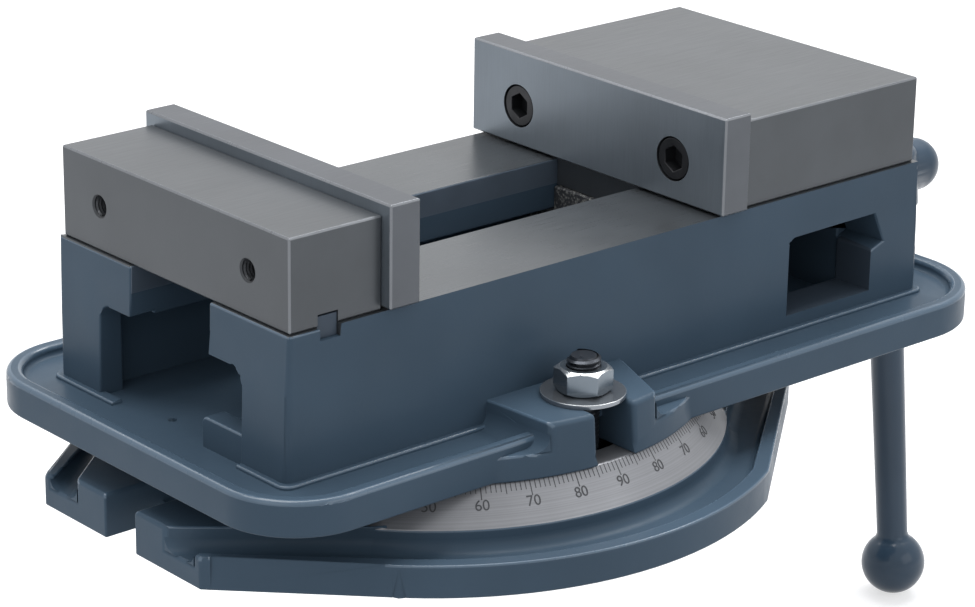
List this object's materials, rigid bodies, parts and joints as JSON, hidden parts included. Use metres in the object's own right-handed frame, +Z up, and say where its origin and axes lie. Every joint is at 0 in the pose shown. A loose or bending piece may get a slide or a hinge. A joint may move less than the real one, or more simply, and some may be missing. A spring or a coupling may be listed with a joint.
{
  "type": "swivel machine vise",
  "caption": "Low machine vise on a round graduated swivel base, with ground steel jaws, a slotted bed in a coolant tray and a cranked screw with a ball-ended handle.",
  "frame": {"origin": "on the swivel axis, in the plane of the base's underside", "axes": "+X along the screw towards the crank, +Z up; the pictured side faces -Y"},
  "size_m": [0.4721, 0.3004, 0.2895],
  "materials": {
    "paint": "satin blue-grey enamel",
    "crank_paint": "satin dark blue enamel",
    "ground_steel": "ground",
    "plate_steel": "hardened and ground",
    "key_steel": "ground",
    "black_steel": "black oxide",
    "zinc": "bright zinc",
    "turned_steel": "turned",
    "nut_iron": "as cast, oiled",
    "bearing_steel": "polished",
    "bronze": "plain bearing bronze"
  },
  "bodies": {
    "base": {"swivel_base": "paint"},
    "vise": {"vise_body": "paint", "vise_tray": "paint", "pivot_pin": "turned_steel", "clamp_bolts": "black_steel", "fixed_jaw": "ground_steel", "jaw_key": "key_steel", "fixed_jaw_bolts": "black_steel", "fixed_plate": "plate_steel", "fixed_plate_screws": "black_steel", "screw_bush": "bronze", "thrust_race_body": "bearing_steel"},
    "jaw": {"movable_jaw": "ground_steel", "movable_plate": "plate_steel", "movable_plate_screws": "black_steel", "angle_segment": "bearing_steel", "screw_nut": "nut_iron", "jaw_set_screw": "black_steel"},
    "screw": {"lead_screw": "turned_steel", "thrust_race_screw": "bearing_steel", "thrust_cage": "bronze", "thrust_needles": "bearing_steel", "bearing_collar": "turned_steel", "collar_set_screw": "black_steel"},
    "crank": {"crank_handle": "crank_paint"},
    "washer_near_body": {"washer_near": "zinc"},
    "washer_far_body": {"washer_far": "zinc"},
    "nut_near_body": {"nut_near": "zinc"},
    "nut_far_body": {"nut_far": "zinc"}
  },
  "joints": [
    {"name": "swivel", "type": "hinge", "parent": "base", "child": "vise", "pos_m": [0, 0, 0.033], "axis": [0, 0, 1], "continuous": true},
    {"name": "screw_turn", "type": "hinge", "parent": "vise", "child": "screw", "pos_m": [0.25, 0, 0.068], "axis": [-1, 0, 0], "range_deg": [0, 11808]},
    {"name": "jaw_slide", "type": "slide", "parent": "vise", "child": "jaw", "axis": [-1, 0, 0], "range_m": [0, 0.164]},
    {"name": "crank_pull", "type": "slide", "parent": "screw", "child": "crank", "axis": [1, 0, 0], "range_m": [0, 0.03]},
    {"name": "washer_lift_near", "type": "slide", "parent": "vise", "child": "washer_near_body", "axis": [0, 0, 1], "range_m": [0, 0.004]},
    {"name": "nut_turn_near", "type": "hinge", "parent": "washer_near_body", "child": "nut_near_body", "pos_m": [0, -0.096, 0.063], "axis": [0, 0, 1], "range_deg": [0, 720]},
    {"name": "washer_lift_far", "type": "slide", "parent": "vise", "child": "washer_far_body", "axis": [0, 0, 1], "range_m": [0, 0.004]},
    {"name": "nut_turn_far", "type": "hinge", "parent": "washer_far_body", "child": "nut_far_body", "pos_m": [0, 0.096, 0.063], "axis": [0, 0, 1], "range_deg": [0, 720]}
  ],
  "couplings": [
    {"joint": "jaw_slide", "follows": "screw_turn", "m_per_rad": 0.00079577}
  ]
}
